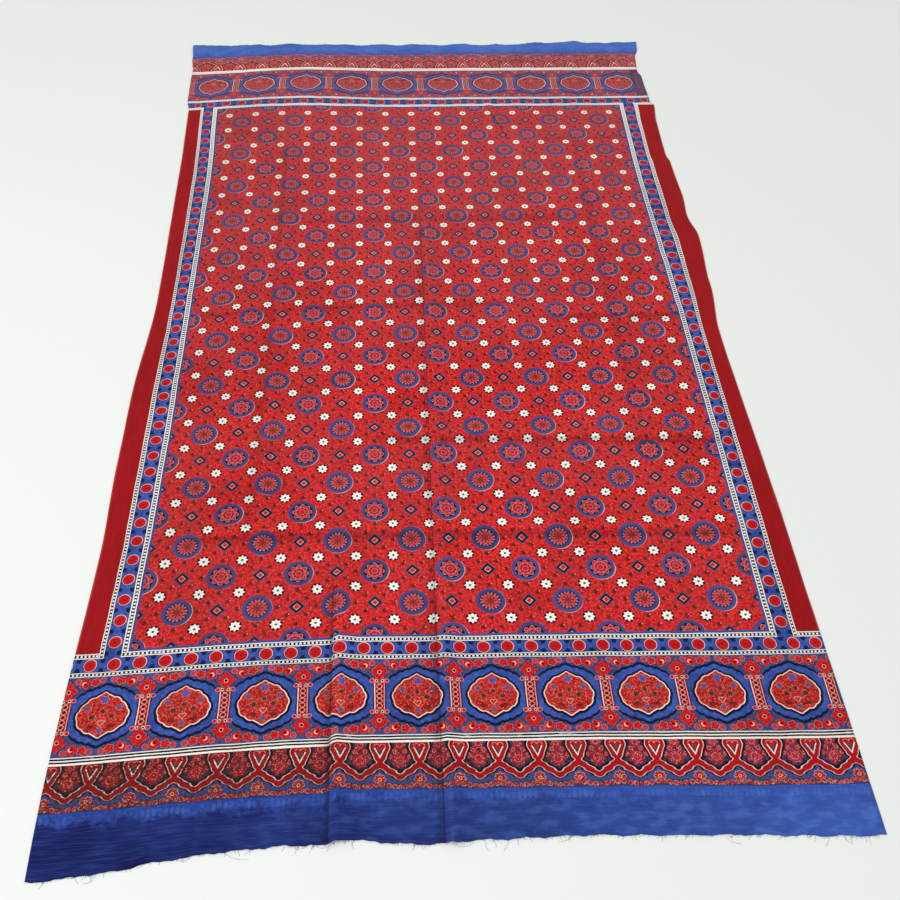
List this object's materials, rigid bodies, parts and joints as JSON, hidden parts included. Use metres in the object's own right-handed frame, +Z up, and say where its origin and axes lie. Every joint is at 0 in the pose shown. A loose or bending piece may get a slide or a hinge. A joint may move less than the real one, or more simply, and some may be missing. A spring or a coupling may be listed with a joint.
{
  "type": "ajrakh cloth",
  "caption": "Open length of block printed cotton cloth with a star-and-rosette field, side borders and banded ends, lying flat with soft fold creases.",
  "frame": {"origin": "middle of the cloth's box, on the surface it lies on", "axes": "+X to the right across the cloth, +Y along the cloth from the near end to the far end, +Z up off the surface"},
  "size_m": [1.4316, 2.6056, 0.0102],
  "materials": {
    "printed_cotton": "matte block printed cotton, madder red with indigo, black and white"
  },
  "bodies": {
    "root": {"cloth": "printed_cotton"}
  },
  "joints": []
}
